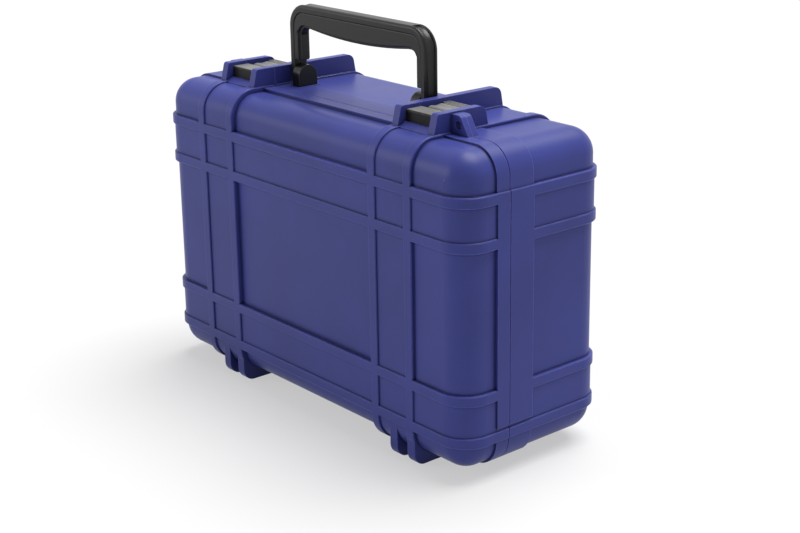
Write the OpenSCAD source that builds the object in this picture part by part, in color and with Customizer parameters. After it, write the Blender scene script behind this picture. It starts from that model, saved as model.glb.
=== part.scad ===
// Hard tool case that stands on its hinge side, with its carrying handle and two draw latches on top.
// X runs along the width, Y from the lid (front) to the base (rear), Z up. Millimetres.
// The origin is the middle of the footprint, level with the soles of the feet.

/* [Case body] */
// Width over the ribs
case_w = 462; // [420:2:520]
// Height of the moulded shell over the ribs, without feet and fins
shell_h = 296; // [270:2:340]
// Depth of the closed case over the ribs
case_d = 177; // [160:1:220]
// Depth of the lid, from its front to the parting plane
lid_d = 55; // [50:1:75]
// Radius of the outer corners and edges
corner_r = 28; // [24:1:32]
// Height of the feet and hinge arms under the shell
foot_h = 6; // [5:0.5:8]
// Wall behind the deepest panel
wall_t = 3.5; // [2.5:0.5:4.5]

/* [Ribs and panels] */
// Width of a rib
rib_w = 10; // [8:0.5:12]
// Distance from an end of the case to the centre of the nearest upright rib
rib_end = 72.5; // [64:0.5:80]
// Spacing of the two upright ribs beside each latch
band_w = 48.5; // [46:0.5:52]
// Distance from the top of the shell to the centre of the highest level rib
rib_top_drop = 44.5; // [42:0.5:50]
// Distance from the bottom of the shell to the centre of the lowest level rib
rib_low_rise = 34; // [33.5:0.5:40]
// Spacing of the two level ribs of a pair
pair_h = 39.5; // [34:0.5:46]
// Bevel along the edges of a rib
rib_bevel = 0.8; // [0.4:0.1:1.2]
// Depth of the band between two paired ribs under the ribs
band_drop = 1.8; // [1:0.1:2.4]
// Depth of the corner panels under the ribs
panel_drop = 3.5; // [2.6:0.1:4]
// Depth of the middle panels of the lid under the ribs
deep_drop = 5; // [4:0.1:5.5]

/* [Flange and seal] */
// Depth of the lid's flange along Y
lid_flange_d = 14.7; // [12:0.1:18]
// Depth of the base's flange along Y
base_flange_d = 28; // [24:0.5:34]
// Depth of the flange's surface under the ribs
flange_drop = 1.5; // [1.2:0.1:1.6]
// Distance from the top and bottom of the shell to the end pads, where the flange is level with the ribs
pad_in = 42; // [34:1:60]
// Step down from the base's flange to its middle panel
flange_step = 0.7; // [0.4:0.1:1.5]
// Width of the seam between the two halves
seam_w = 1; // [0.4:0.1:1.4]
// Depth of the seam under the flange's surface
seam_d = 0.8; // [0.4:0.1:1]
// Width of the seal groove
groove_w = 2.8; // [2.5:0.1:3]
// Distance from the ribs' surface in to the seal groove
groove_in = 3.6; // [3.4:0.1:3.8]
// Depth of the seal groove
groove_d = 3; // [2.6:0.1:4]
// Thickness of the seal as it lies squeezed
seal_t = 1.6; // [1.2:0.1:2]
// Gap between the base's rim and the seal, and beside the rim
seal_gap = 0.3; // [0.2:0.05:0.4]

/* [Latch fins] */
// Height of the latch fins over the shell
fin_h = 17.5; // [16:0.5:20]
// Thickness of a latch fin
fin_t = 8; // [6:0.5:9]
// Distance from the front of the case to the foot of a fin
fin_front = 28; // [26:1:30]
// Radius of a fin's front corner
fin_front_r = 3; // [2:0.5:5]
// Radius of a fin's rear corner
fin_rear_r = 8; // [4:0.5:9]
// Lean of a fin's front edge
fin_front_lean = 14; // [8:1:20]
// Lean of a fin's rear edge
fin_rear_lean = 10; // [6:1:16]
// Distance that the inner fins reach behind the parting plane
fin_in_len = 102; // [96:1:104]
// Distance that the outer fins reach behind the parting plane
fin_out_len = 38; // [36:1:46]
// Width of a padlock ear
ear_w = 23; // [21:0.5:26]
// Radius of a padlock ear's upper corner
ear_r = 5; // [3:0.5:7]
// Lean of a padlock ear's outer edge
ear_lean = 30; // [24:1:32]
// Height that an ear stays under the fins
ear_drop = 1.5; // [1:0.1:3]
// Thickness of a padlock ear
ear_t = 6; // [5:0.5:8]
// Distance from the outer fin to the middle of the padlock hole
padlock_out = 9; // [8:0.5:10]
// Diameter of the padlock hole
padlock_d = 8; // [6:0.5:9]

/* [Latches] */
// Gap between a latch and the fins beside it
latch_side_gap = 0.8; // [0.5:0.1:1.2]
// Distance from the parting plane back to the lever's pivot
pivot_back = 9; // [8:0.5:11]
// Radius of the lever's rounded nose about its pivot
nose_r = 7.5; // [7:0.1:8]
// Distance between the lever's pivot and the claw's pivot
throw_r = 12; // [11:0.5:13]
// Angle that the closed claw pivot lies below the level of the lever's pivot
over_centre = 5; // [3:1:7]
// Length of the lever behind its pivot
lever_len = 31; // [29:0.5:36]
// Thickness of the lever's top plate
plate_t = 2.2; // [1.8:0.1:2.4]
// Radius of the finger scoop in the latch's top
scoop_r = 14.5; // [12:0.5:18]
// Distance that the scoop reaches into the latch
scoop_in = 8; // [6:0.5:10]
// Depth of the scoop
scoop_d = 2.5; // [1:0.1:3]
// Distance from the claw's front to the middle of the scoop
scoop_back = 13.5; // [12:0.5:15]
// Depth of the lever's tail under its top
tail_drop = 12; // [11:0.5:13]
// Spacing of the four grooves across the lever's tail
tail_step = 3; // [2.4:0.2:3.4]
// Width of those grooves
tail_groove = 1.2; // [0.6:0.1:1.4]
// Depth of those grooves
tail_groove_d = 1.3; // [0.6:0.1:1.4]
// Diameter of the latch pins
latch_pin_d = 3; // [2.5:0.1:3.2]
// Depth that the claw reaches in front of the parting plane
claw_reach = 17; // [16:0.5:19]
// Thickness of the claw's front lip
lip_t = 5.5; // [4:0.5:6]
// Height of the catch block's front step on the lid's flange
step_h = 4.7; // [4:0.1:5]
// Height of the catch ridge over that step
catch_h = 3.3; // [3:0.1:3.4]
// Thickness of the catch ridge
catch_t = 4; // [3:0.5:4.5]
// Thickness of a claw arm
claw_arm_t = 3.6; // [3:0.1:4]
// Thickness of a pivot lug on the base
lug_t = 3.6; // [3:0.1:4]
// Gap between the two pivot lugs of a latch
lug_gap = 10; // [8:0.5:11]
// Gap between a moving latch or handle piece and its neighbours
slip = 0.35; // [0.3:0.05:0.45]

/* [Handle] */
// Gap between the handle and the inner latch fins
handle_gap = 3; // [2:0.5:6]
// Height of the handle's top over the shell
handle_rise = 79.5; // [70:0.5:90]
// Thickness of the handle along Y
handle_t = 15.5; // [13:0.5:18]
// Radius of the handle's outer corners
handle_r = 22; // [18:1:26]
// Thickness of the handle's outer frame
frame_t = 7.5; // [6:0.5:9]
// Thickness of the grip along the legs
grip_leg_t = 8.5; // [7:0.5:10]
// Height of the grip's bar in the middle
grip_h = 20; // [17:0.5:24]
// Rise of the grip's lower edge towards its ends
grip_wave = 5; // [3:0.5:6]
// Width of the groove along the outside of the legs
leg_groove_w = 4; // [3:0.5:5]
// Depth of the groove along the outside of the legs
leg_groove_d = 2; // [1:0.5:3]
// Distance from the parting plane back to the handle's pivots
handle_back = 24.5; // [22:0.5:30]
// Height of the handle's pivots over the flange
handle_up = 10; // [9:0.5:12]
// Radius of the rounded top of a handle bracket
bracket_r = 11; // [9:0.5:12]
// Thickness of a handle bracket along X
bracket_t = 11; // [9:0.5:12]
// Diameter of the handle pins
handle_pin_d = 6; // [5:0.5:7]
// Diameter of the bracket screws
screw_d = 4; // [3:0.5:5]
// Distance between the two screws of a bracket
screw_gap = 12; // [10:0.5:14]

/* [Hinges] */
// Radius of the hinge knuckles
knuckle_r = 4.2; // [3.8:0.1:4.3]
// Diameter of the hinge pins
hinge_pin_d = 3; // [2.6:0.1:3.4]
// Width of a hinge arm of the lid
arm_w = 10; // [8:0.5:11]
// Gap between two neighbouring knuckles
knuckle_gap = 0.4; // [0.3:0.05:0.6]
// Radius of the rounded ends of the hinge arms' soles and the feet
sole_r = 12; // [10:0.5:14]
// Radial clearance of the hinge, latch and handle pins in what turns on them
run_gap = 0.05; // [0.02:0.01:0.08]

/* [Hidden] */
$fn = 96;
eps = 0.01;

case_blue = [0.24, 0.25, 0.5];
latch_black = [0.16, 0.16, 0.17];
grip_black = [0.1, 0.1, 0.1];
steel_grey = [0.7, 0.7, 0.72];
seal_grey = [0.3, 0.3, 0.32];

y_front = -case_d / 2;
y_part = y_front + lid_d;
y_rear = case_d / 2;
base_d = case_d - lid_d;
shell_z0 = foot_h;
shell_z1 = foot_h + shell_h;
flange_top = shell_z1 - flange_drop;
inner_drop = deep_drop + wall_t;
arm_drop = band_drop + 0.2;
foot_lean = 2;
rib_root = deep_drop + 1;
rib_draft = 0.3;
rib_out_x = case_w / 2 - rib_end;
rib_in_x = rib_out_x - band_w;
band_x = rib_in_x + band_w / 2;
rib_rows = [
    shell_z1 - rib_top_drop,
    shell_z1 - rib_top_drop - pair_h,
    shell_z0 + rib_low_rise + pair_h,
    shell_z0 + rib_low_rise
];
rib_cols = [-rib_out_x, -rib_in_x, rib_in_x, rib_out_x];
root = 4;
ear_z0 = shell_z1 - root;
floor_gap = 0.5;
nose_gap = 0.1;
fin_top = shell_z1 + fin_h;
ear_x0 = rib_out_x + fin_t / 2;
ear_top = fin_top - ear_drop;
padlock_x = ear_x0 + padlock_out;
padlock_z = (flange_top + ear_top) / 2;
claw_y = y_part - claw_reach;
latch_hw = (band_w - fin_t) / 2 - latch_side_gap;
neck_hw = latch_hw - claw_arm_t - slip;
pivot_y = y_part + pivot_back;
pivot_z = flange_top + nose_r + floor_gap;
claw_pivot_y = pivot_y + throw_r * cos(over_centre);
claw_pivot_z = pivot_z - throw_r * sin(over_centre);
latch_top = pivot_z + nose_r;
lug_r = nose_r - plate_t - slip - nose_gap;
lug_x = lug_gap / 2;
arm_r = 3.5;
lever_end = pivot_y + lever_len;
step_z = flange_top + step_h;
ridge_y = claw_y + lip_t + slip;
ridge_z = step_z + catch_h;
handle_w = 2 * (rib_in_x - fin_t / 2 - handle_gap);
handle_y = y_part + handle_back;
handle_z = flange_top + handle_up;
handle_top = shell_z1 + handle_rise;
leg_in = handle_w / 2 - frame_t;
opening_hw = leg_in - grip_leg_t;
bracket_out = leg_in - slip;
bracket_in = bracket_out - bracket_t;
bracket_x = (bracket_in + bracket_out) / 2;
grip_z0 = handle_z + bracket_r + 4.5;
grip_top = handle_top - frame_t;
grip_t = handle_t - 1;
roof_z = shell_z1 - inner_drop;
washer_t = 1;
seal_disc_t = 1.2;
head_h = 2.6;
head_r = screw_d / 2 + 1.6;
screw_bite = 8;
hinge_z = knuckle_r;
knuckle_x = arm_w / 2 + knuckle_gap;
knuckle_w = band_w / 2 - arm_w - 2 * knuckle_gap;

// Extrudes a profile drawn as (y, z) along X
module along_x(x0, x1) {
    translate([x0, 0, 0]) rotate([90, 0, 90]) linear_extrude(x1 - x0) children();
}

// Extrudes a profile drawn as (x, z) along Y
module along_y(y0, y1) {
    translate([0, y1, 0]) rotate([90, 0, 0]) linear_extrude(y1 - y0) children();
}

// Extrudes a profile drawn as (x, y) along Z
module along_z(z0, z1) {
    translate([0, 0, z0]) linear_extrude(z1 - z0) children();
}

// A half shell is drawn with its outer face at y = 0 and its parting plane at y = depth.
// Its outline seen from the end, sunk by drop under the ribs
module side_outline(depth, drop) {
    r = corner_r - drop;
    z0 = shell_z0 + drop;
    h = shell_h - 2 * drop;
    translate([drop + r, z0]) square([depth - drop - r, h]);
    translate([drop, z0 + r]) square([depth - drop, h - 2 * r]);
    translate([drop + r, z0 + r]) circle(r);
    translate([drop + r, z0 + h - r]) circle(r);
}

// One end of the outline seen from above, from the start of the rounding outwards
module end_outline(depth, drop) {
    r = corner_r - drop;
    x0 = case_w / 2 - corner_r;
    translate([x0, drop + r]) square([r, depth - drop - r]);
    intersection() {
        translate([x0, drop + r]) circle(r);
        translate([x0, drop]) square([r, r + eps]);
    }
}

// The two rounded corners and the straight wall of the right-hand end
module end_block(depth, drop) {
    r = corner_r - drop;
    along_z(shell_z0 + corner_r, shell_z1 - corner_r) end_outline(depth, drop);
    for (top = [0, 1])
        translate([case_w / 2 - corner_r, 0, top == 1 ? shell_z1 - corner_r : shell_z0 + corner_r])
            mirror([0, 0, top]) rotate([-90, 0, 0])
                rotate_extrude(angle = 90) {
                    translate([0, drop + r]) square([r, depth - drop - r]);
                    intersection() {
                        translate([0, drop + r]) circle(r);
                        translate([0, drop]) square([r, r + eps]);
                    }
                }
}

// A rounded half box that reaches both ends
module half_box(depth, drop) {
    for (side = [0, 1])
        mirror([side, 0, 0]) {
            along_x(0, case_w / 2 - corner_r) side_outline(depth, drop);
            end_block(depth, drop);
        }
}

// Cross section of a rib, drawn about x = 0 with its top at y = 0
module rib_section() {
    w = rib_w / 2;
    polygon([
        [-w - rib_draft, rib_root], [-w, rib_bevel], [-w + rib_bevel, 0],
        [w - rib_bevel, 0], [w, rib_bevel], [w + rib_draft, rib_root]
    ]);
}

// Upright rib that runs over the outer face and back along the top and bottom
module upright_rib(x, depth) {
    z0 = shell_z0 + corner_r;
    z1 = shell_z1 - corner_r;
    along_z(z0, z1) translate([x, 0]) rib_section();
    for (top = [0, 1])
        translate([x, corner_r, top == 1 ? z1 : z0]) mirror([0, 0, 1 - top]) {
            rotate([0, -90, 180]) rotate_extrude(angle = 90)
                translate([corner_r, 0]) rotate(90) rib_section();
            translate([0, 0, corner_r]) rotate([-90, 0, 0])
                linear_extrude(depth - corner_r) rib_section();
        }
}

// Level rib that runs over the outer face and back along both ends
module level_rib(z, depth) {
    x1 = case_w / 2 - corner_r;
    along_x(-x1, x1) translate([0, z]) rotate(-90) rib_section();
    for (side = [0, 1])
        mirror([side, 0, 0]) translate([x1, corner_r, z]) {
            rotate_extrude(angle = -90)
                translate([corner_r, 0]) rotate(90) rib_section();
            translate([corner_r, 0, 0]) rotate([-90, 90, 0])
                linear_extrude(depth - corner_r) rib_section();
        }
}

// The outside of one half of the case, with its half of the seam cut in
module half_outside(depth, flange_d, middle_drop) {
    difference() {
        half_body(depth, flange_d, middle_drop);
        along_y(depth - seam_w / 2, depth + 1) difference() {
            rounded_sheet(-2);
            rounded_sheet(flange_drop + seam_d);
        }
    }
}

// Panels, bands, ribs and flange of one half
module half_body(depth, flange_d, middle_drop) {
    x_end = case_w / 2 - corner_r;
    half_box(depth, rib_root);
    for (side = [0, 1])
        mirror([side, 0, 0]) {
            along_x(0, rib_in_x) side_outline(depth, middle_drop);
            along_x(rib_in_x, rib_out_x) side_outline(depth, band_drop);
            along_x(rib_out_x, x_end) side_outline(depth, panel_drop);
            end_block(depth, panel_drop);
        }
    for (low = [rib_rows[1], rib_rows[3]])
        along_z(low, low + pair_h) {
            translate([-x_end, band_drop]) square([2 * x_end, depth - band_drop]);
            end_outline(depth, band_drop);
            mirror([1, 0]) end_outline(depth, band_drop);
        }
    for (x = rib_cols) upright_rib(x, depth);
    for (z = rib_rows) level_rib(z, depth);
    along_y(depth - flange_d, depth) rounded_sheet(flange_drop);
    for (side = [0, 1])
        mirror([side, 0, 0])
            translate([case_w / 2 - rib_root, depth - flange_d, shell_z0 + pad_in])
                cube([rib_root, flange_d, shell_h - 2 * pad_in]);
}

// Rounded rectangle (x, z) at a given depth under the ribs
module rounded_sheet(drop) {
    r = corner_r - drop;
    w = case_w - 2 * drop;
    h = shell_h - 2 * drop;
    translate([-w / 2 + r, shell_z0 + drop]) square([w - 2 * r, h]);
    translate([-w / 2, shell_z0 + drop + r]) square([w, h - 2 * r]);
    for (x = [-w / 2 + r, w / 2 - r])
        for (z = [shell_z0 + drop + r, shell_z1 - drop - r])
            translate([x, z]) circle(r);
}

// Distance from the foot of a leaning edge to the centre of its rounded upper corner
function corner_in(top, r, lean) = r * cos(lean) + tan(lean) * (top - r + r * sin(lean) - ear_z0);

// Upright plate in 2D between two feet, with leaning edges and rounded upper corners
module plate_outline(x0, x1, top, r0, r1, lean0, lean1) {
    c0 = x0 + corner_in(top, r0, lean0);
    c1 = x1 - corner_in(top, r1, lean1);
    polygon([
        [x0, ear_z0], [c0 - r0 * cos(lean0), top - r0 + r0 * sin(lean0)], [c0, top],
        [c1, top], [c1 + r1 * cos(lean1), top - r1 + r1 * sin(lean1)], [x1, ear_z0]
    ]);
    translate([c0, top - r0]) circle(r0);
    translate([c1, top - r1]) circle(r1);
}

// Outline (y, z) of a whole latch fin that ends at y1
module fin_outline(y1) {
    plate_outline(y_front + fin_front, y1, fin_top, fin_front_r, fin_rear_r, fin_front_lean, fin_rear_lean);
}

// Padlock ear beside the right-hand outer fin, drawn as (x, z)
module ear_outline() {
    intersection() {
        plate_outline(rib_in_x, ear_x0 + ear_w, ear_top, ear_r, ear_r, 0, ear_lean);
        translate([rib_out_x, 0]) square([2 * ear_w, 2 * fin_top]);
    }
}

// Round corner of the shell's outline that an arm or foot is joined to, sunk to its root
module corner_root(y) {
    translate([y, shell_z0 + corner_r]) circle(corner_r - rib_root);
}

// Outline (y, z) of a hinge arm with its flat sole
module arm_outline() {
    y0 = y_front + arm_drop;
    yc = y_front + corner_r;
    difference() {
        union() {
            translate([y0 + sole_r, sole_r]) circle(sole_r);
            polygon([
                [y0, shell_z0 + corner_r], [y0, sole_r], [y0 + sole_r, 0], [y_part, 0],
                [y_part, shell_z0 + rib_root], [yc, shell_z0 + rib_root], [yc, shell_z0 + corner_r]
            ]);
        }
        corner_root(yc);
    }
    translate([y_part, hinge_z]) circle(knuckle_r);
}

// Outline (y, z) of a foot under the base
module foot_outline() {
    y0 = y_part + 2 * knuckle_r;
    y1 = y_rear - arm_drop;
    yc = y_rear - corner_r;
    difference() {
        union() {
            translate([y1 - sole_r, sole_r]) circle(sole_r);
            polygon([
                [y0, shell_z0 + rib_root], [y0 + 2 * foot_lean, 0], [y1 - sole_r, 0], [y1, sole_r],
                [y1, shell_z0 + corner_r], [yc, shell_z0 + corner_r], [yc, shell_z0 + rib_root]
            ]);
        }
        corner_root(yc);
    }
}

// Outline (y, z) of a base knuckle with its web
module base_knuckle_outline() {
    web = 2.5 * knuckle_r;
    translate([y_part, hinge_z]) circle(knuckle_r);
    polygon([
        [y_part, 0], [y_part + web, 0], [y_part + 1.5 * web, shell_z0 + root], [y_part, shell_z0 + root]
    ]);
}

// Draws its children at both latch and hinge bands, about the middle of each band
module at_bands() {
    for (x = [-band_x, band_x]) translate([x, 0, 0]) children();
}

module both_sides() {
    children();
    mirror([1, 0, 0]) children();
}

module rod(x0, x1, y, z, r) {
    translate([x0, y, z]) rotate([0, 90, 0]) cylinder(h = x1 - x0, r = r);
}

// Ring between two depths under the ribs' surface
module sheet_ring(outer_drop, inner_drop) {
    difference() {
        rounded_sheet(outer_drop);
        rounded_sheet(inner_drop);
    }
}

// Catch block between the latch fins, with a ramp, a step and the ridge that the claw hooks
module catch_block() {
    hw = (band_w - fin_t) / 2 + 1;
    along_x(-hw, hw) polygon([
        [y_front + fin_front + 2, flange_top - root], [y_front + fin_front + 2, flange_top + 0.5],
        [claw_y - 1, step_z], [ridge_y, step_z], [ridge_y, ridge_z],
        [ridge_y + catch_t - 1, ridge_z], [ridge_y + catch_t, ridge_z - 1],
        [ridge_y + catch_t, flange_top - root]
    ]);
}

module lid_shell() {
    color(case_blue) difference() {
        union() {
            translate([0, y_front, 0]) half_outside(lid_d, lid_flange_d, deep_drop);
            for (x = rib_cols)
                along_x(x - fin_t / 2, x + fin_t / 2)
                    intersection() {
                        fin_outline(y_part + fin_out_len);
                        translate([y_front, 0]) square([lid_d, 2 * fin_top]);
                    }
            both_sides() along_y(y_part - ear_t, y_part) ear_outline();
            at_bands() {
                catch_block();
                for (x = [0, band_w / 2]) along_x(x - arm_w / 2, x + arm_w / 2) arm_outline();
            }
        }
        translate([0, y_front, 0]) half_box(lid_d + 1, inner_drop);
        along_y(y_part - groove_d, y_part + 1) sheet_ring(groove_in, groove_in + groove_w);
        both_sides() along_y(y_part - 2 * ear_t, y_part + 1)
            translate([padlock_x, padlock_z]) circle(d = padlock_d);
        at_bands() {
            rod(-band_w, band_w, y_part, hinge_z, hinge_pin_d / 2 + run_gap);
            for (x = [-knuckle_x - knuckle_w, knuckle_x])
                rod(x - knuckle_gap, x + knuckle_w + knuckle_gap, y_part, hinge_z, knuckle_r + slip);
        }
    }
}

// One of the two lugs that carry a latch lever's pin
module lever_lug(x0) {
    along_x(x0, x0 + lug_t) {
        translate([pivot_y, pivot_z]) circle(lug_r);
        translate([pivot_y - lug_r, flange_top - root]) square([2 * lug_r, pivot_z - flange_top + root]);
    }
}

module base_shell() {
    color(case_blue) difference() {
        union() {
            translate([0, y_rear, 0]) mirror([0, 1, 0])
                half_outside(base_d, base_flange_d, flange_drop + flange_step);
            for (x = rib_cols)
                along_x(x - fin_t / 2, x + fin_t / 2)
                    intersection() {
                        fin_outline(y_part + (abs(x) < band_x ? fin_in_len : fin_out_len));
                        translate([y_part, 0]) square([base_d, 2 * fin_top]);
                    }
            both_sides() along_y(y_part, y_part + ear_t) ear_outline();
            both_sides() translate([bracket_in - 2, handle_y - bracket_r - 2, flange_top - root])
                cube([rib_in_x - bracket_in, 2 * bracket_r + 4, root]);
            along_y(y_part - groove_d + seal_t + seal_gap, y_part + 1)
                sheet_ring(groove_in + seal_gap, groove_in + groove_w - seal_gap);
            at_bands() {
                lever_lug(lug_x);
                lever_lug(-lug_x - lug_t);
                for (x = [-knuckle_x - knuckle_w, knuckle_x])
                    along_x(x, x + knuckle_w) base_knuckle_outline();
                for (x = [-band_w / 2, band_w / 2])
                    along_x(x - arm_w / 2, x + arm_w / 2) foot_outline();
            }
        }
        translate([0, y_rear, 0]) mirror([0, 1, 0]) half_box(base_d + 1, inner_drop);
        both_sides() along_y(y_part - 1, y_part + 2 * ear_t)
            translate([padlock_x, padlock_z]) circle(d = padlock_d);
        at_bands() {
            rod(-band_w, band_w, y_part, hinge_z, hinge_pin_d / 2 + eps);
            for (x = [0, band_w / 2])
                rod(x - knuckle_x, x + knuckle_x, y_part, hinge_z, knuckle_r + slip);
            rod(-neck_hw, neck_hw, pivot_y, pivot_z, latch_pin_d / 2 + eps);
        }
        screw_places() translate([0, 0, -1]) cylinder(h = flange_top - roof_z + 2, r = screw_d / 2 + 0.25);
    }
}

// Draws its children at the inner end of each bracket screw's hole in the base's roof
module screw_places() {
    for (x = [-bracket_x, bracket_x])
        for (y = [-screw_gap / 2, screw_gap / 2])
            translate([x, handle_y + y, roof_z]) children();
}

module lid_seal() {
    color(seal_grey) along_y(y_part - groove_d, y_part - groove_d + seal_t)
        sheet_ring(groove_in + eps, groove_in + groove_w - eps);
}

module hinge_pin(x) {
    color(steel_grey) translate([x, 0, 0])
        rod(-knuckle_x - knuckle_w, (band_w + arm_w) / 2, y_part, hinge_z, hinge_pin_d / 2);
}

// Outline (y, z) of the lever: rounded nose, dipped thumb rest and rounded tail
module lever_outline() {
    translate([pivot_y, pivot_z]) circle(nose_r);
    polygon([
        [pivot_y, latch_top], [pivot_y + 4, latch_top - 0.6], [pivot_y + 7.5, latch_top - 0.7],
        [pivot_y + 11, latch_top], [lever_end - 6, latch_top], [lever_end - 2.5, latch_top - 1.2],
        [lever_end, latch_top - 5], [lever_end - 0.5, latch_top - 10],
        [lever_end - 4, latch_top - tail_drop], [pivot_y + 5, pivot_z - 5], [pivot_y, pivot_z]
    ]);
}

module latch_lever(x) {
    wide_y = claw_pivot_y + arm_r + slip + 0.4;
    color(latch_black) translate([x, 0, 0]) difference() {
        union() {
            along_x(-neck_hw, neck_hw) lever_outline();
            along_x(-latch_hw, latch_hw) intersection() {
                lever_outline();
                translate([wide_y, 0]) square([lever_len, 2 * latch_top]);
            }
        }
        rod(-neck_hw - 1, neck_hw + 1, pivot_y, pivot_z, latch_pin_d / 2 + run_gap);
        rod(-neck_hw - 1, neck_hw + 1, claw_pivot_y, claw_pivot_z, latch_pin_d / 2 + eps);
        for (x0 = [lug_x, -lug_x - lug_t])
            translate([x0 - slip, pivot_y - 2 * nose_r, pivot_z - 2 * nose_r])
                cube([lug_t + 2 * slip, 2 * nose_r + lug_r + slip, 2 * nose_r + lug_r + slip]);
        translate([-neck_hw + 2, wide_y + 1, latch_top - 2 * tail_drop])
            cube([2 * neck_hw - 4, lever_end - wide_y - 5, 2 * tail_drop - plate_t]);
        for (i = [0, 1, 2, 3])
            translate([-latch_hw - 1, claw_pivot_y + tail_groove + tail_step * i, latch_top - tail_groove_d])
                cube([2 * latch_hw + 2, tail_groove, 2 * tail_groove_d]);
        scoop();
    }
}

// Round finger scoop that runs over the claw's block and the lever's nose
module scoop() {
    translate([latch_hw + scoop_r - scoop_in, claw_y + scoop_back, latch_top - scoop_d])
        cylinder(h = 2 * scoop_d, r = scoop_r);
}

module latch_claw(x) {
    block_y1 = pivot_y - nose_r - slip;
    color(latch_black) translate([x, 0, 0]) difference() {
        union() {
            along_x(-latch_hw, latch_hw) polygon([
                [claw_y, step_z + slip], [claw_y, latch_top - 1], [claw_y + 1, latch_top],
                [block_y1, latch_top], [block_y1, ridge_z + slip],
                [claw_y + lip_t, ridge_z + slip], [claw_y + lip_t, step_z + slip]
            ]);
            for (x0 = [-latch_hw, neck_hw + slip])
                along_x(x0, x0 + claw_arm_t) {
                    translate([claw_pivot_y, claw_pivot_z]) circle(arm_r);
                    polygon([
                        [ridge_y + catch_t + slip, claw_pivot_z - arm_r],
                        [claw_pivot_y, claw_pivot_z - arm_r],
                        [claw_pivot_y, claw_pivot_z + arm_r - 0.8],
                        [block_y1 - 1, ridge_z + 3], [ridge_y + catch_t + slip, ridge_z + 3]
                    ]);
                }
        }
        rod(-latch_hw - 1, latch_hw + 1, claw_pivot_y, claw_pivot_z, latch_pin_d / 2 + run_gap);
        scoop();
    }
}

module lever_pin(x) {
    color(steel_grey) translate([x, 0, 0])
        rod(-neck_hw + 0.5, neck_hw - 0.5, pivot_y, pivot_z, latch_pin_d / 2);
}

module claw_pin(x) {
    color(steel_grey) translate([x, 0, 0])
        rod(-latch_hw + 0.2, latch_hw - 0.2, claw_pivot_y, claw_pivot_z, latch_pin_d / 2);
}

// Cross section of the frame: x runs outwards, y across the handle
module frame_section(recess) {
    r = 3;
    difference() {
        union() {
            translate([-frame_t, -handle_t / 2]) square([frame_t - r, handle_t]);
            translate([-frame_t, -handle_t / 2 + r]) square([frame_t, handle_t - 2 * r]);
            for (y = [-handle_t / 2 + r, handle_t / 2 - r]) translate([-r, y]) circle(r);
        }
        if (recess) translate([-leg_groove_d, -leg_groove_w]) square([2 * leg_groove_d, 2 * leg_groove_w]);
    }
}

module handle_frame() {
    x1 = handle_w / 2;
    color(grip_black) translate([0, handle_y, 0]) difference() {
        union() {
            translate([0, 0, handle_top]) rotate([0, -90, 0])
                translate([0, 0, -x1 + handle_r]) linear_extrude(2 * (x1 - handle_r)) frame_section(false);
            both_sides() {
                translate([x1 - handle_r, 0, handle_top - handle_r]) rotate([90, 0, 0])
                    rotate_extrude(angle = 90) translate([handle_r, 0]) frame_section(true);
                along_z(handle_z, handle_top - handle_r) translate([x1, 0]) frame_section(true);
                rod(x1 - frame_t, x1 - leg_groove_d, 0, handle_z, handle_t / 2);
            }
        }
        rod(-x1 - 1, x1 + 1, 0, handle_z, handle_pin_d / 2 + run_gap);
    }
}

// Outline (x, z) of the grip, drawn in by inset along its open edge
module grip_outline(inset) {
    bar_z = grip_top - grip_h;
    end_z = bar_z + grip_wave;
    wave_r = (pow(opening_hw - 12, 2) + pow(grip_wave, 2)) / (2 * grip_wave);
    r = handle_r - frame_t;
    difference() {
        union() {
            translate([-leg_in, grip_z0]) square([2 * leg_in, grip_top - r - grip_z0]);
            translate([-leg_in + r, grip_top - r - 1]) square([2 * (leg_in - r), r + 1]);
            for (x = [-leg_in + r, leg_in - r]) translate([x, grip_top - r]) circle(r);
        }
        difference() {
            union() {
                translate([-opening_hw - inset, grip_z0 - 1])
                    square([2 * (opening_hw + inset), end_z - 7 - grip_z0 + 1 + inset]);
                translate([-opening_hw + 8, grip_z0]) square([2 * (opening_hw - 8), end_z + inset - grip_z0]);
                for (x = [-opening_hw + 8, opening_hw - 8])
                    translate([x, end_z - 8]) circle(8 + inset);
            }
            translate([0, bar_z + inset + wave_r]) circle(wave_r, $fn = 720);
        }
    }
}

module handle_grip() {
    bevel = 2.5;
    color(grip_black) translate([0, handle_y, 0]) {
        along_y(-grip_t / 2 + bevel, grip_t / 2 - bevel) grip_outline(0);
        along_y(-grip_t / 2, grip_t / 2) grip_outline(bevel);
    }
}

module handle_bracket(side) {
    color(grip_black) difference() {
        along_x(side > 0 ? bracket_in : -bracket_out, side > 0 ? bracket_out : -bracket_in) {
            translate([handle_y - bracket_r, flange_top]) square([2 * bracket_r, handle_up]);
            intersection() {
                translate([handle_y, handle_z]) circle(bracket_r);
                translate([handle_y - bracket_r, flange_top]) square(2 * bracket_r);
            }
        }
        rod(side > 0 ? bracket_in + 2 : -bracket_out - 1, side > 0 ? bracket_out + 1 : -bracket_in - 2,
            handle_y, handle_z, handle_pin_d / 2 + eps);
        for (y = [-screw_gap / 2, screw_gap / 2])
            translate([side * bracket_x, handle_y + y, flange_top - 1])
                cylinder(h = screw_bite + 1, r = screw_d / 2 + eps);
    }
}

module handle_pin(side) {
    x0 = bracket_in + 2;
    x1 = handle_w / 2 - leg_groove_d;
    color(steel_grey) rod(side > 0 ? x0 : -x1, side > 0 ? x1 : -x0, handle_y, handle_z, handle_pin_d / 2);
}

module bracket_screws() {
    stack = washer_t + seal_disc_t;
    color(steel_grey) screw_places() {
        translate([0, 0, -stack - head_h]) cylinder(h = head_h, r = head_r);
        translate([0, 0, -stack - 1])
            cylinder(h = stack + 1 + flange_top - roof_z + screw_bite, r = screw_d / 2);
    }
}

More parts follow.
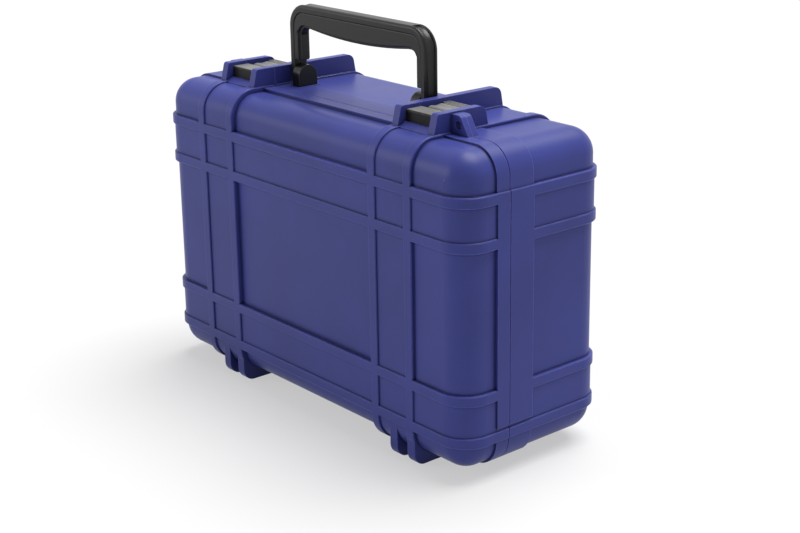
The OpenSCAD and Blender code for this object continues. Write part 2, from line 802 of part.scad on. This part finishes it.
module bracket_washers() {
    color(steel_grey) screw_places() translate([0, 0, -washer_t - seal_disc_t]) difference() {
        cylinder(h = washer_t, r = head_r + 1);
        translate([0, 0, -1]) cylinder(h = washer_t + 2, r = screw_d / 2 + 0.25);
    }
}

module bracket_seals() {
    color(seal_grey) screw_places() translate([0, 0, -seal_disc_t]) difference() {
        cylinder(h = seal_disc_t, r = head_r + 0.5);
        translate([0, 0, -1]) cylinder(h = seal_disc_t + 2, r = screw_d / 2 + 0.1);
    }
}

lid_shell();
base_shell();
lid_seal();
hinge_pin(-band_x);  // hinge_pin_left
hinge_pin(band_x);  // hinge_pin_right
latch_lever(-band_x);  // latch_lever_left
latch_lever(band_x);  // latch_lever_right
latch_claw(-band_x);  // latch_claw_left
latch_claw(band_x);  // latch_claw_right
lever_pin(-band_x);  // lever_pin_left
lever_pin(band_x);  // lever_pin_right
claw_pin(-band_x);  // claw_pin_left
claw_pin(band_x);  // claw_pin_right
handle_frame();
handle_grip();
handle_bracket(-1);  // handle_bracket_left
handle_bracket(1);  // handle_bracket_right
handle_pin(-1);  // handle_pin_left
handle_pin(1);  // handle_pin_right
bracket_screws();
bracket_washers();
bracket_seals();
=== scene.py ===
"""Dresses the hard tool case and sets the stage around it.

Moulded plastic shells, satin latches and handle, steel pins, rubber seals, a plain pale floor.
Lengths are in metres.
"""
import math

import bpy
from mathutils import Euler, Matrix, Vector

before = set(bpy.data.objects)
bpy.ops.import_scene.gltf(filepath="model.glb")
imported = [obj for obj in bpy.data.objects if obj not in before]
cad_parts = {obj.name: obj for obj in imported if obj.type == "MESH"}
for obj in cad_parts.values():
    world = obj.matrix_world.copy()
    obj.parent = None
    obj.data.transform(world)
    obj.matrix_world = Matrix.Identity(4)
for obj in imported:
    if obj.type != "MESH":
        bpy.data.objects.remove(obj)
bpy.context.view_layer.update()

# Camera, fitted to the corners and ribs of the case in the photograph. Lens and sensor in mm
CAMERA_PLACE = (1.13724, -0.9075, 0.61702)
CAMERA_TURN = (1.27823, 0.00579, 0.84414)
CAMERA_LENS = 69.872
CAMERA_SENSOR = 36.0
CAMERA_SHIFT = (-0.06, -0.06)

# Colours, linear: as moulded, a painted highlight with rubbed wear along the edges, and a painted
# highlight on upward faces
SHELL_BLUE = (0.038, 0.047, 0.216)
SHELL_WEAR_AND_HIGHLIGHT = (0.150, 0.145, 0.600)
LATCH_BLACK = (0.008, 0.008, 0.009)
LATCH_WEAR_AND_HIGHLIGHT = (0.230, 0.230, 0.225)
LATCH_TOP_HIGHLIGHT = (0.165, 0.165, 0.160)
GRIP_BLACK = (0.010, 0.010, 0.010)
GRIP_WEAR_AND_HIGHLIGHT = (0.110, 0.110, 0.110)
STEEL = (0.55, 0.55, 0.57)
SEAL_GREY = (0.05, 0.05, 0.055)
FLOOR_GREY = (0.61, 0.61, 0.61)
WHITE = (1.0, 1.0, 1.0)

# Scale of each pattern in the surfaces: a higher one is finer
PATCHES = 9.0
SCUFFS = 160.0
TOP_HIGHLIGHT_BREAKUP = 300.0
SHELL_GRAIN = 1500.0
SMALL_GRAIN = 1200.0
RUBBER_DUST = 700.0
TURNED_LINES = 900.0

# Depth of the plastic's grain, the rubber's dust and the steel's lines
GRAIN_DEPTH = 0.00012
DUST_DEPTH = 0.0001
LINE_DEPTH = 0.00005

# Plastic: its colour in dark patches, light patches and the painted shade of corners, as shares of
# the named colour, the reach of that painted shade, the reach of the painted highlight and rubbed
# wear along edges as a share of an edge's rounding, and the least of that highlight and wear
PATCH_DARK = 0.90
PATCH_LIGHT = 1.08
CORNER_PAINTED_SHADE = 0.3
CORNER_SHADE_REACH = 0.0028
WEAR_AND_HIGHLIGHT_REACH = 1.3
WEAR_AND_HIGHLIGHT_LEAST = 0.45
PLASTIC_IOR = 1.5

# An edge shows by how far rounding turns its normal: the cosine where it begins and where it is full
TURN_BEGINS = 0.995
TURN_FULL = 0.9

# Radius of the rounding that each material gives to its edges
SHELL_EDGE = 0.0009
LATCH_EDGE = 0.0005
GRIP_EDGE = 0.0008
SEAL_EDGE = 0.0003

# Rays for each rounded edge and each corner's painted shade
SURFACE_SAMPLES = 6

# Real rounding of the handle's edges, where they turn by more than the angle in degrees
HANDLE_BEVEL = 0.0009
HANDLE_BEVEL_STEPS = 2
HANDLE_BEVEL_ANGLE = 35
WELD_REACH = 0.00001

# Floor. Its glow is the share of pure white that the camera sees, which thins out the shadow
FLOOR_HALF = 4.0
FLOOR_DROP = 0.0005
FLOOR_ROUGH = 0.9
FLOOR_GLOW = 0.5

# Light that the surroundings give, where 1 shows as white
WORLD_FILL = 0.28

# Lamps: direction towards the lamp, watts per square metre, and spread in degrees
LAMPS = {
    "top_lamp": ((0.05, 0.35, 1.0), 4.5, 45),
    "front_lamp": ((-0.8, -1.0, 0.35), 0.85, 30),
    "side_lamp": ((1.0, 0.1, 0.4), 0.12, 40),
}


def times(colour, factor):
    """A darker or lighter colour."""
    return tuple(c * factor for c in colour)


class Nodes:
    """Short ways to add and join the nodes of one tree."""

    def __init__(self, tree):
        self.tree = tree

    def add(self, kind, values=None, **settings):
        """A new node, with values for its inputs and settings of its own."""
        node = self.tree.nodes.new(kind)
        for key, value in settings.items():
            setattr(node, key, value)
        for key, value in (values or {}).items():
            node.inputs[key].default_value = value
        return node

    def join(self, source, target):
        self.tree.links.new(source, target)

    def fill(self, target, value):
        """Gives an input a number, a colour or another node's output."""
        if isinstance(value, (int, float)):
            target.default_value = value
        elif isinstance(value, tuple):
            target.default_value = (*value, 1.0)
        else:
            self.join(value, target)

    def noise(self, scale, detail, rough):
        values = {"Scale": scale, "Detail": detail, "Roughness": rough}
        node = self.add("ShaderNodeTexNoise", values)
        self.join(self.add("ShaderNodeTexCoord").outputs["Object"], node.inputs["Vector"])
        return node.outputs["Fac"]

    def ramp(self, source, low, high, to_low=0.0, to_high=1.0):
        """Maps low and high to to_low and to_high, and stops there."""
        values = {"From Min": low, "From Max": high, "To Min": to_low, "To Max": to_high}
        node = self.add("ShaderNodeMapRange", values)
        self.join(source, node.inputs["Value"])
        return node.outputs["Result"]

    def math(self, operation, a, b):
        node = self.add("ShaderNodeMath", operation=operation)
        self.fill(node.inputs[0], a)
        self.fill(node.inputs[1], b)
        return node.outputs[0]

    def mix(self, share, a, b):
        """A colour between a and b. The node has its colours in inputs 6 and 7 and output 2."""
        node = self.add("ShaderNodeMix", data_type="RGBA")
        self.join(share, node.inputs[0])
        self.fill(node.inputs[6], a)
        self.fill(node.inputs[7], b)
        return node.outputs[2]

    def mix_shaders(self, share, a, b):
        node = self.add("ShaderNodeMixShader")
        self.join(share, node.inputs["Fac"])
        self.join(a, node.inputs[1])
        self.join(b, node.inputs[2])
        return node.outputs["Shader"]

    def seen_directly(self):
        """1 for rays that show the background: from the camera, a reflection or through glass."""
        path = self.add("ShaderNodeLightPath")
        shown = path.outputs["Is Camera Ray"]
        for ray in ("Is Glossy Ray", "Is Transmission Ray"):
            shown = self.math("MAXIMUM", shown, path.outputs[ray])
        return shown


class Surface(Nodes):
    """A new material, built around its own shader."""

    def __init__(self, name):
        self.material = bpy.data.materials.new(name)
        self.material.use_nodes = True
        super().__init__(self.material.node_tree)
        self.shader = self.tree.nodes["Principled BSDF"]

    def give(self, name, value):
        """Fills one input of the shader."""
        self.fill(self.shader.inputs[name], value)

    def bump(self, height, strength, depth, normal=None):
        node = self.add("ShaderNodeBump", {"Strength": strength, "Distance": depth})
        self.join(height, node.inputs["Height"])
        if normal is not None:
            self.join(normal, node.inputs["Normal"])
        return node.outputs["Normal"]

    def soft_edges(self, radius):
        """Normals rounded over sharp edges, as a mould leaves them."""
        node = self.add("ShaderNodeBevel", {"Radius": radius}, samples=SURFACE_SAMPLES)
        return node.outputs["Normal"]

    def exposed(self, reach, own):
        """Near 0 in inner corners and grooves and 1 on open faces; it places the painted shade of
        corners.
        """
        node = self.add(
            "ShaderNodeAmbientOcclusion", {"Distance": reach}, samples=SURFACE_SAMPLES, only_local=own)
        return node.outputs["AO"]

    def facing_up(self):
        """The height of the piece's own normal."""
        split = self.add("ShaderNodeSeparateXYZ")
        self.join(self.add("ShaderNodeTexCoord").outputs["Normal"], split.inputs[0])
        return split.outputs["Z"]

    def outer_edges(self, radius):
        """Near 1 where rounding turns the normal, and 0 on flat faces."""
        geometry = self.add("ShaderNodeNewGeometry")
        node = self.add("ShaderNodeVectorMath", operation="DOT_PRODUCT")
        self.join(self.soft_edges(radius), node.inputs[0])
        self.join(geometry.outputs["Normal"], node.inputs[1])
        return self.ramp(node.outputs["Value"], low=TURN_BEGINS, high=TURN_FULL)

    def top_highlight_share(self):
        """Share of the painted highlight on upward faces: near 1 there, broken up by noise."""
        upward = self.ramp(self.facing_up(), low=0.75, high=0.95)
        breakup = self.noise(TOP_HIGHLIGHT_BREAKUP, detail=4.0, rough=0.7)
        return self.math("MULTIPLY", upward, self.ramp(breakup, low=0.3, high=0.6, to_low=0.85))

    def wear_and_highlight_share(self, radius, scuffs, exposed):
        """Share of the painted highlight with rubbed wear on outer edges: near 1 there, broken up by
        scuffs and kept out of corners.
        """
        edges = self.outer_edges(radius * WEAR_AND_HIGHLIGHT_REACH)
        broken = self.ramp(scuffs, low=0.0, high=1.0, to_low=WEAR_AND_HIGHLIGHT_LEAST)
        worn_and_highlit = self.math("MULTIPLY", edges, broken)
        return self.math("MULTIPLY", worn_and_highlit, self.ramp(exposed, low=0.85, high=0.98))


def moulded_plastic(name, colour, wear_and_highlight, rough, grain, shine, edge, top_highlight=None, own=True):
    """Moulded plastic: fine grain, uneven gloss, a painted highlight with rubbed wear along the
    edges, and painted shade in inner corners.

    An optional colour gives upward faces a painted highlight, broken up by noise. own is False
    where the neighbouring pieces add to the painted shade in its corners too.
    """
    m = Surface(name)
    patches = m.ramp(m.noise(PATCHES, detail=4.0, rough=0.6), low=0.35, high=0.65)
    fine = m.noise(grain, detail=2.0, rough=0.6)
    base = m.mix(patches, times(colour, PATCH_DARK), times(colour, PATCH_LIGHT))
    scuffs = m.ramp(m.noise(SCUFFS, detail=5.0, rough=0.7), low=0.45, high=0.75)
    # Painted highlight on upward faces, broken up by noise
    if top_highlight:
        base = m.mix(m.top_highlight_share(), base, top_highlight)
    exposed = m.exposed(CORNER_SHADE_REACH if own else CORNER_SHADE_REACH / 2, own)
    # Painted shade: inner corners, grooves and seams darkened towards a share of the colour
    base = m.mix(m.ramp(exposed, low=0.5, high=0.95), times(colour, CORNER_PAINTED_SHADE), base)
    # Painted highlight along the outer edges, with rubbed wear that scuffs break up
    base = m.mix(m.wear_and_highlight_share(edge, scuffs, exposed), base, wear_and_highlight)
    m.give("Base Color", base)
    broad = m.ramp(patches, low=0.0, high=1.0, to_low=rough - 0.03, to_high=rough + 0.04)
    small = m.ramp(fine, low=0.3, high=0.7, to_low=-0.03, to_high=0.03)
    m.give("Roughness", m.math("ADD", broad, small))
    m.give("Normal", m.bump(fine, 0.35, GRAIN_DEPTH, m.soft_edges(edge)))
    m.give("IOR", PLASTIC_IOR)
    m.give("Specular IOR Level", shine)
    return m.material


def turned_steel(name, colour):
    """Turned steel with fine lines."""
    m = Surface(name)
    values = {"Scale": TURNED_LINES, "Distortion": 2.0}
    rings = m.add("ShaderNodeTexWave", values, wave_type="RINGS", rings_direction="X")
    m.join(m.add("ShaderNodeTexCoord").outputs["Object"], rings.inputs["Vector"])
    lines = rings.outputs["Fac"]
    m.give("Base Color", m.mix(lines, times(colour, 0.8), colour))
    m.give("Roughness", m.ramp(lines, low=0.0, high=1.0, to_low=0.28, to_high=0.4))
    m.give("Metallic", 1.0)
    m.give("Normal", m.bump(lines, 0.3, LINE_DEPTH))
    return m.material


def soft_rubber(name, colour):
    """Matte rubber with a powdery grain."""
    m = Surface(name)
    dust = m.noise(RUBBER_DUST, detail=4.0, rough=0.7)
    m.give("Base Color", m.mix(dust, colour, times(colour, 1.6)))
    m.give("Roughness", m.ramp(dust, low=0.3, high=0.7, to_low=0.7, to_high=0.85))
    m.give("Normal", m.bump(dust, 0.4, DUST_DEPTH, m.soft_edges(SEAL_EDGE)))
    return m.material


def paint(node, material):
    """Gives a CAD node one material."""
    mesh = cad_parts[node].data
    mesh.materials.clear()
    mesh.materials.append(material)


def paint_all():
    """Paints each CAD node by the start of its name. The others are pins, screws and washers."""
    shell = moulded_plastic(
        "shell_plastic", SHELL_BLUE, SHELL_WEAR_AND_HIGHLIGHT, rough=0.38, grain=SHELL_GRAIN, shine=0.17,
        edge=SHELL_EDGE)
    latch = moulded_plastic(
        "latch_plastic", LATCH_BLACK, LATCH_WEAR_AND_HIGHLIGHT, rough=0.34, grain=SMALL_GRAIN, shine=0.14,
        edge=LATCH_EDGE, top_highlight=LATCH_TOP_HIGHLIGHT)
    grip = moulded_plastic(
        "grip_plastic", GRIP_BLACK, GRIP_WEAR_AND_HIGHLIGHT, rough=0.32, grain=SMALL_GRAIN, shine=0.26,
        edge=GRIP_EDGE, own=False)
    steel = turned_steel("pin_steel", STEEL)
    seal = soft_rubber("seal_rubber", SEAL_GREY)
    starts = {
        "lid_shell": shell, "base_shell": shell, "latch_": latch, "handle_frame": grip,
        "handle_grip": grip, "handle_bracket": grip, "lid_seal": seal, "bracket_seals": seal,
    }
    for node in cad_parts:
        matches = [material for start, material in starts.items() if node.startswith(start)]
        paint(node, matches[0] if matches else steel)


def round_handle():
    """Small real roundings on the handle's two mouldings, which also open the seam between them."""
    for node in ("handle_frame", "handle_grip"):
        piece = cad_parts[node]
        weld = piece.modifiers.new("weld", "WELD")
        weld.merge_threshold = WELD_REACH
        bevel = piece.modifiers.new("rounding", "BEVEL")
        bevel.width = HANDLE_BEVEL
        bevel.segments = HANDLE_BEVEL_STEPS
        bevel.limit_method = "ANGLE"
        bevel.angle_limit = math.radians(HANDLE_BEVEL_ANGLE)
        bevel.use_clamp_overlap = False


def add_object(name, data):
    """An object of the scene that holds a mesh, a lamp or a camera."""
    made = bpy.data.objects.new(name, data)
    bpy.context.scene.collection.objects.link(made)
    return made


def add_floor():
    """A plain pale floor under the case."""
    r = FLOOR_HALF
    mesh = bpy.data.meshes.new("floor")
    mesh.from_pydata([(-r, -r, 0), (r, -r, 0), (r, r, 0), (-r, r, 0)], [], [(0, 1, 2, 3)])
    floor = add_object("floor", mesh)
    floor.location.z = -FLOOR_DROP
    m = Surface("floor_white")
    m.give("Base Color", FLOOR_GREY)
    m.give("Roughness", FLOOR_ROUGH)
    glow = m.add("ShaderNodeEmission")
    share = m.math("MULTIPLY", m.seen_directly(), FLOOR_GLOW)
    shown = m.mix_shaders(share, m.shader.outputs["BSDF"], glow.outputs["Emission"])
    m.join(shown, m.tree.nodes["Material Output"].inputs["Surface"])
    mesh.materials.append(m.material)


def add_world():
    """Level white surroundings, which the camera sees pure white."""
    world = bpy.data.worlds.new("studio")
    bpy.context.scene.world = world
    world.use_nodes = True
    world.node_tree.nodes.clear()
    w = Nodes(world.node_tree)
    seen = w.add("ShaderNodeBackground", {"Color": (*WHITE, 1.0), "Strength": 1.0})
    fill = w.add("ShaderNodeBackground", {"Color": (*WHITE, 1.0), "Strength": WORLD_FILL})
    both = w.mix_shaders(w.seen_directly(), fill.outputs["Background"], seen.outputs["Background"])
    w.join(both, w.add("ShaderNodeOutputWorld").inputs["Surface"])


def add_lamps():
    """Distant lamps, so that the floor is lit alike all over. Their spread softens shadows."""
    for name, (towards_lamp, strength, spread) in LAMPS.items():
        lamp = bpy.data.lights.new(name, "SUN")
        lamp.energy = strength
        lamp.angle = math.radians(spread)
        turn = Vector(towards_lamp).to_track_quat("Z", "Y").to_euler()
        add_object(name, lamp).rotation_euler = turn


def add_camera():
    camera = bpy.data.cameras.new("camera")
    camera.lens = CAMERA_LENS
    camera.sensor_width = CAMERA_SENSOR
    camera.shift_x, camera.shift_y = CAMERA_SHIFT
    camera_object = add_object("camera", camera)
    camera_object.location = CAMERA_PLACE
    camera_object.rotation_euler = Euler(CAMERA_TURN, "XYZ")
    bpy.context.scene.camera = camera_object


paint_all()
round_handle()
add_floor()
add_world()
add_lamps()
add_camera()
bpy.context.scene.view_settings.view_transform = "Standard"
